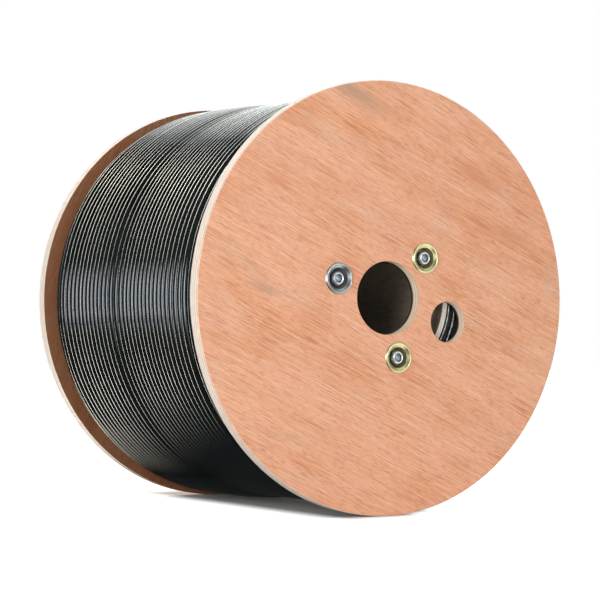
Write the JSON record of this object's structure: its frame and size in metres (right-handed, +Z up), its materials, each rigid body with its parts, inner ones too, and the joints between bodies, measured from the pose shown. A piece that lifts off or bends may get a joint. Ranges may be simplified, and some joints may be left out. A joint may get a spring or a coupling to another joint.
{
  "type": "wooden cable drum",
  "caption": "Drum of black cable wound on a paper tube between round plywood flanges, clamped by tie rods, with an arbor bore and a cable start hole.",
  "frame": {"origin": "centre of the drum, on the axis of its bore, midway between the flanges", "axes": "+Y along the drum's axis, from the flange with the start hole to the plain one; +Z up as it stands on its rims"},
  "size_m": [0.3999, 0.3304, 0.4],
  "materials": {
    "plywood": "bare rotary-cut veneer",
    "core_board": "matt wound board",
    "cable_jacket": "gloss black",
    "yellow_zinc": "yellow zinc plate",
    "clear_zinc": "clear zinc plate"
  },
  "bodies": {
    "root": {"flange_front": "plywood", "flange_back": "plywood", "core_tube": "core_board", "cable_winding": "cable_jacket", "cup_washers_yellow": "yellow_zinc", "cup_washers_clear": "clear_zinc", "lock_nuts": "clear_zinc", "tie_rod_1": "clear_zinc", "tie_rod_2": "clear_zinc", "tie_rod_3": "clear_zinc"}
  },
  "joints": []
}
